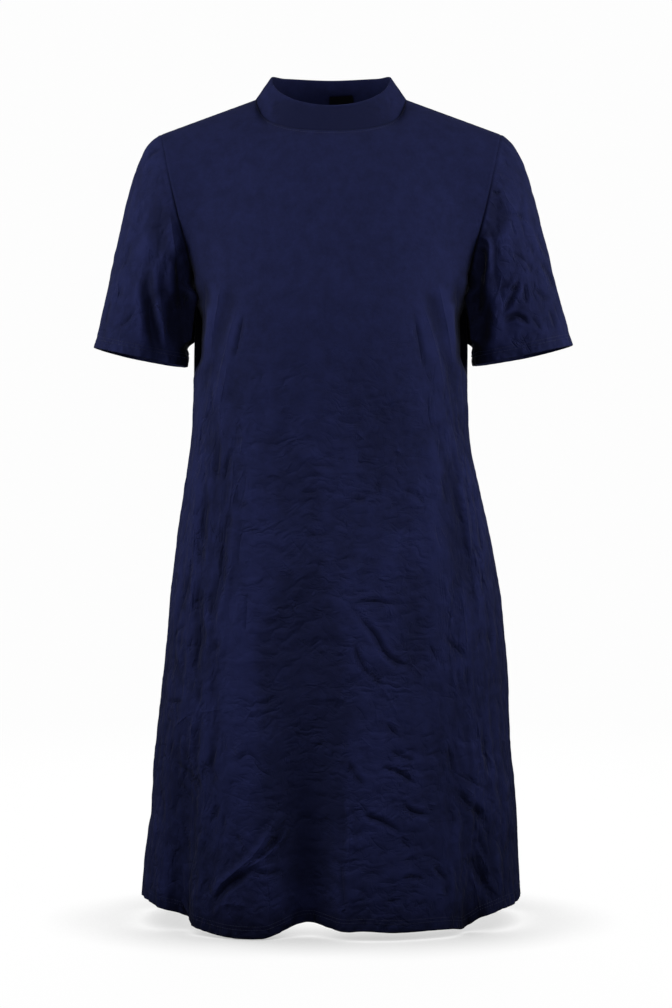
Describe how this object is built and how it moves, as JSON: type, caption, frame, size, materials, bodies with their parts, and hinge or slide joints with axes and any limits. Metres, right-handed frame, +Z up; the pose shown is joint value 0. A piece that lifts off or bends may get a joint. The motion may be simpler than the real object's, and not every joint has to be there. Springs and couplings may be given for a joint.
{
  "type": "short-sleeved shift dress",
  "caption": "Hollow A-line shift dress in plain dark jersey, worn shape, with a stand-up collar band, short set-in sleeves and a softly fluted hem.",
  "frame": {"origin": "between the shoulders, level with the neck ends of the shoulder seams, where the wearer holds the dress up", "axes": "+Z up along the dress, from hem to collar; -Y towards the front of the dress; +X to the viewer's right as seen from the front"},
  "size_m": [0.574, 0.3268, 1.0106],
  "materials": {
    "jersey": "matte navy jersey with a soft brushed face",
    "label_cloth": "plain dark woven tape"
  },
  "bodies": {
    "root": {"front": "jersey", "back": "jersey", "sleeve_left": "jersey", "sleeve_right": "jersey", "collar": "jersey", "neck_label": "label_cloth"}
  },
  "joints": []
}
